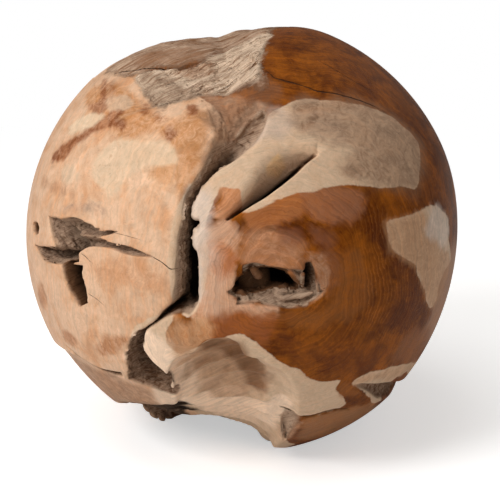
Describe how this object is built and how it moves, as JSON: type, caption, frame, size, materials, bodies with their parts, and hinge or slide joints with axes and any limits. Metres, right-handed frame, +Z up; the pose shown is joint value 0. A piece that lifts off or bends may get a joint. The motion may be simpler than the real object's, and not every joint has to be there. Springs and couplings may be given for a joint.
{
  "type": "root wood ball",
  "caption": "Decorative solid wooden ball ground from teak root, with a deep crevice, a knot hole, weathered hollows, a smooth scoop low on the front and a level foot.",
  "frame": {"origin": "on the floor, under the middle of the ball's bounding box", "axes": "+Z up; -Y is the front, with the crevice, the knot hole and the scoop; +X is the right seen from the front, where the ball is ground a little flatter"},
  "size_m": [0.3962, 0.3996, 0.3782],
  "materials": {
    "wood": "sanded and oiled, satin; raw in the hollows"
  },
  "bodies": {
    "root": {"root_ball": "wood"}
  },
  "joints": []
}
